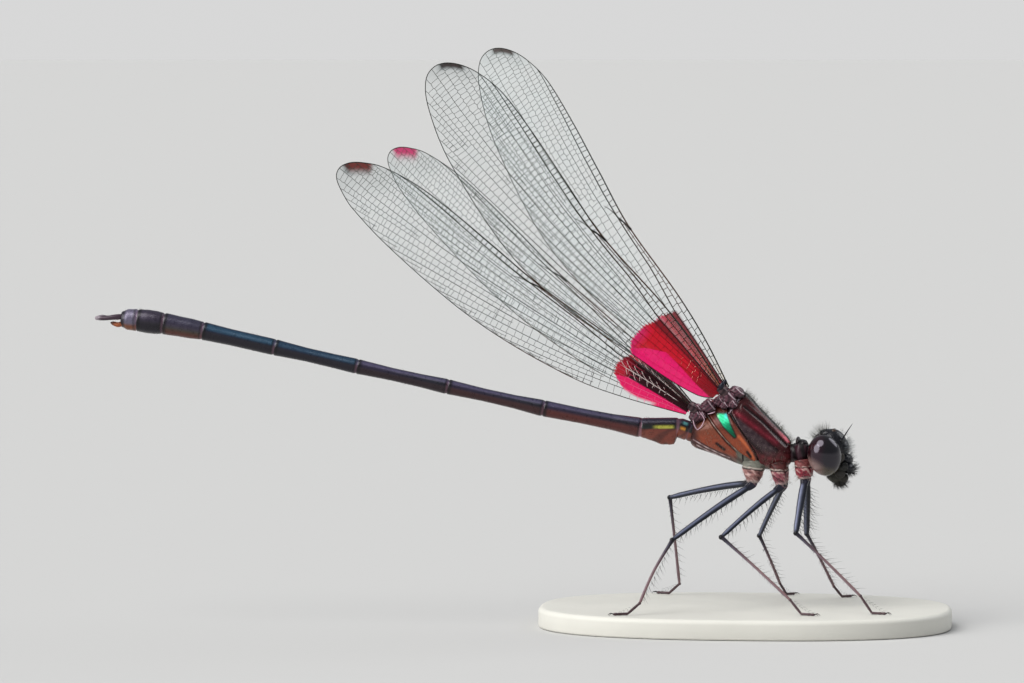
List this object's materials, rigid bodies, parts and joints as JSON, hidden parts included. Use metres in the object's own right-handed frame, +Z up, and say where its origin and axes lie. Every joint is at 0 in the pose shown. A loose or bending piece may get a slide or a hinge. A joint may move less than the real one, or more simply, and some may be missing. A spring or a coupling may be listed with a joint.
{
  "type": "damselfly model",
  "caption": "Male rubyspot damselfly at life size, perched with its red-based clear wings half open, standing on a small flat display base.",
  "frame": {"origin": "middle of the display base's underside", "axes": "+X towards the head, along the body; +Y to the animal's left; +Z up"},
  "size_m": [0.0524, 0.0175, 0.0349],
  "materials": {
    "base": "satin off-white",
    "thorax": "glossy dark maroon",
    "head": "glossy black",
    "eye": "polished dark brown",
    "abdomen": "glossy blue-black",
    "abdomen_root": "glossy red-brown",
    "coxa": "satin red-brown",
    "leg": "satin blue-black",
    "wing": "clear with dark veins"
  },
  "bodies": {
    "root": {"stand_base": "base", "thorax": "thorax", "prothorax": "thorax", "head": "head", "labrum": "head", "labium": "head", "eye_left": "eye", "eye_right": "eye", "antenna_left": "head", "antenna_right": "head", "abdomen_1": "abdomen_root", "abdomen_2": "abdomen_root", "abdomen_3": "abdomen", "abdomen_4": "abdomen", "abdomen_5": "abdomen", "abdomen_6": "abdomen", "abdomen_7": "abdomen", "abdomen_8": "abdomen", "abdomen_9": "abdomen", "abdomen_10": "abdomen", "cercus_left": "abdomen", "paraproct_left": "abdomen_root", "forewing_left": "wing", "hindwing_left": "wing", "cercus_right": "abdomen", "paraproct_right": "abdomen_root", "forewing_right": "wing", "hindwing_right": "wing", "coxa_front_left": "coxa", "femur_front_left": "leg", "tibia_front_left": "leg", "tarsus_front_left": "leg", "coxa_front_right": "coxa", "femur_front_right": "leg", "tibia_front_right": "leg", "tarsus_front_right": "leg", "coxa_middle_left": "coxa", "femur_middle_left": "leg", "tibia_middle_left": "leg", "tarsus_middle_left": "leg", "coxa_middle_right": "coxa", "femur_middle_right": "leg", "tibia_middle_right": "leg", "tarsus_middle_right": "leg", "coxa_hind_left": "coxa", "femur_hind_left": "leg", "tibia_hind_left": "leg", "tarsus_hind_left": "leg", "coxa_hind_right": "coxa", "femur_hind_right": "leg", "tibia_hind_right": "leg", "tarsus_hind_right": "leg"}
  },
  "joints": []
}
